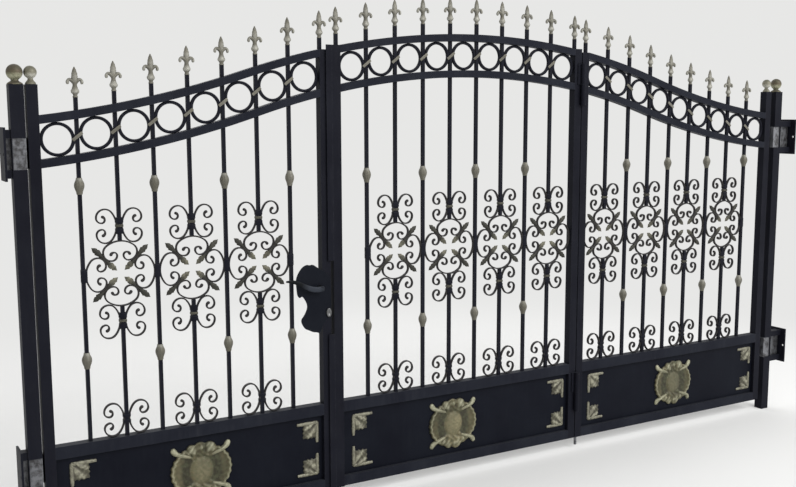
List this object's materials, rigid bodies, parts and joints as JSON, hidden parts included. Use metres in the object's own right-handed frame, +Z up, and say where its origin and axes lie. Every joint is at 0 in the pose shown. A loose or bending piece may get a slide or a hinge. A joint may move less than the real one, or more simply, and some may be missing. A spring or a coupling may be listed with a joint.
{
  "type": "folding driveway gate",
  "caption": "Wrought iron driveway gate of arched leaves with ring frieze, scrollwork and kick panels, hung between two square posts, one leaf folding on its neighbour.",
  "frame": {"origin": "middle of the left post's foot, at ground level", "axes": "+X along the gate towards the right post, +Y into the yard, +Z up"},
  "size_m": [4.118, 0.101, 2.1745],
  "materials": {
    "black_paint": "satin, dusty",
    "gold_castings": "antique gold paint on castings, worn",
    "hinge_steel": "bare and galvanised, scratched",
    "lock_metal": "black castings, rubbed"
  },
  "bodies": {
    "posts": {"left_post": "black_paint", "right_post": "black_paint", "post_balls": "gold_castings", "post_hinges": "hinge_steel", "wall_brackets": "black_paint"},
    "left_leaf": {"left_arched_rails": "black_paint", "left_finials": "gold_castings", "left_hinge_stile": "black_paint", "left_kick_panel": "black_paint", "left_knuckles": "gold_castings", "left_leaf_hinges": "black_paint", "left_level_rails": "black_paint", "left_lock_stile": "black_paint", "left_panel_ornaments": "gold_castings", "left_pickets": "black_paint", "left_rings": "black_paint", "left_scrollwork": "black_paint", "lock_case": "black_paint", "lock_plate": "lock_metal"},
    "lock_lever": {"lock_lever": "lock_metal"},
    "right_leaf": {"right_arched_rails": "black_paint", "right_finials": "gold_castings", "right_fold_stile": "black_paint", "right_hinge_stile": "black_paint", "right_kick_panel": "black_paint", "right_knuckles": "gold_castings", "right_leaf_hinges": "black_paint", "right_level_rails": "black_paint", "right_panel_ornaments": "gold_castings", "right_pickets": "black_paint", "right_rings": "black_paint", "right_scrollwork": "black_paint", "fold_hinge_lower_halves": "black_paint"},
    "middle_leaf": {"middle_arched_rails": "black_paint", "middle_finials": "gold_castings", "middle_fold_stile": "black_paint", "middle_kick_panel": "black_paint", "middle_knuckles": "gold_castings", "middle_level_rails": "black_paint", "middle_lock_stile": "black_paint", "middle_panel_ornaments": "gold_castings", "middle_pickets": "black_paint", "middle_rings": "black_paint", "middle_scrollwork": "black_paint", "fold_hinge_upper_halves": "black_paint", "meeting_strip": "black_paint", "meeting_lips": "black_paint"},
    "drop_bolt": {"drop_bolt": "hinge_steel"}
  },
  "joints": [
    {"name": "left_leaf_swing", "type": "hinge", "parent": "posts", "child": "left_leaf", "pos_m": [0.029, 0.037, 0], "axis": [0, 0, 1], "range_deg": [0, 90]},
    {"name": "right_leaf_swing", "type": "hinge", "parent": "posts", "child": "right_leaf", "pos_m": [3.9025, 0.037, 0], "axis": [0, 0, -1], "range_deg": [0, 90]},
    {"name": "middle_leaf_fold", "type": "hinge", "parent": "right_leaf", "child": "middle_leaf", "pos_m": [2.5585, -0.032, 0], "axis": [0, 0, 1], "range_deg": [0, 175]},
    {"name": "lock_lever_turn", "type": "hinge", "parent": "left_leaf", "child": "lock_lever", "pos_m": [1.164, -0.024, 0.949], "axis": [0, -1, 0], "range_deg": [0, 35], "stiffness_Nm_per_rad": 1.5, "springref_deg": -14.32},
    {"name": "drop_bolt_slide", "type": "slide", "parent": "right_leaf", "child": "drop_bolt", "axis": [0, 0, 1], "range_m": [-0.06, 0]}
  ]
}
